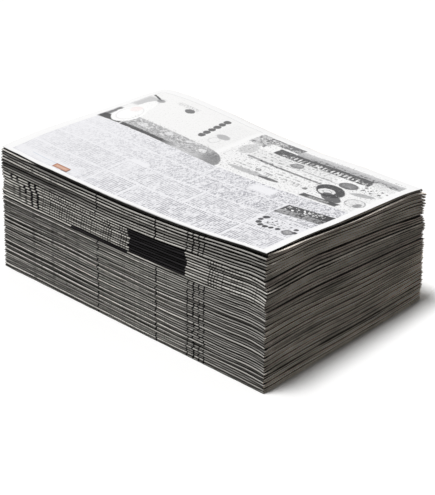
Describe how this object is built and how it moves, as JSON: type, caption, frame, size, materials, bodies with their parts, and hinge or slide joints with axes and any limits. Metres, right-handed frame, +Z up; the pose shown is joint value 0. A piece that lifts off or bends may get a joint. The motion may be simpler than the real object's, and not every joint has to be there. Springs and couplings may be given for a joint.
{
  "type": "newspaper stack",
  "caption": "Stack of broadsheet newspapers, each folded once across the middle, lying flat with all the half folds on one side.",
  "frame": {"origin": "middle of the face the stack rests on, at the centre of the stack's outline", "axes": "+X along the half folds towards the cut ends of the leaves, -Y the folded side, +Y the open side, +Z up"},
  "size_m": [0.4092, 0.2743, 0.1723],
  "materials": {
    "newsprint": "uncoated matte newsprint, printed in black",
    "second_edition_newsprint": "uncoated matte newsprint with a large solid black print field across the fold",
    "front_page_newsprint": "uncoated matte newsprint, bright white with grey print fields"
  },
  "bodies": {
    "root": {"newspaper_01": "newsprint", "newspaper_02": "newsprint", "newspaper_03": "newsprint", "newspaper_04": "newsprint", "newspaper_05": "newsprint", "newspaper_06": "newsprint", "newspaper_07": "newsprint", "newspaper_08": "newsprint", "newspaper_09": "newsprint", "newspaper_10": "newsprint", "newspaper_11": "newsprint", "newspaper_12": "newsprint", "newspaper_13": "newsprint", "newspaper_14": "newsprint", "newspaper_15": "newsprint", "newspaper_16": "newsprint", "newspaper_17": "newsprint", "newspaper_18": "newsprint", "newspaper_19": "newsprint", "newspaper_20": "newsprint", "newspaper_21": "newsprint", "newspaper_22": "newsprint", "newspaper_23": "newsprint", "newspaper_24": "newsprint", "newspaper_25": "newsprint", "newspaper_26": "newsprint", "newspaper_27": "newsprint", "newspaper_28": "newsprint", "newspaper_29": "newsprint", "newspaper_30": "newsprint", "newspaper_31": "newsprint", "newspaper_32": "newsprint", "newspaper_33": "newsprint", "newspaper_34": "second_edition_newsprint", "newspaper_35": "second_edition_newsprint", "newspaper_36": "second_edition_newsprint", "newspaper_37": "second_edition_newsprint", "newspaper_38": "second_edition_newsprint", "newspaper_39": "second_edition_newsprint", "newspaper_40": "second_edition_newsprint", "newspaper_41": "second_edition_newsprint", "newspaper_42": "second_edition_newsprint", "newspaper_43": "second_edition_newsprint", "newspaper_44": "newsprint", "newspaper_45": "newsprint", "newspaper_46": "newsprint", "newspaper_47": "newsprint", "newspaper_48": "newsprint", "newspaper_49": "newsprint", "newspaper_50": "newsprint", "newspaper_51": "newsprint", "newspaper_52": "front_page_newsprint"}
  },
  "joints": []
}
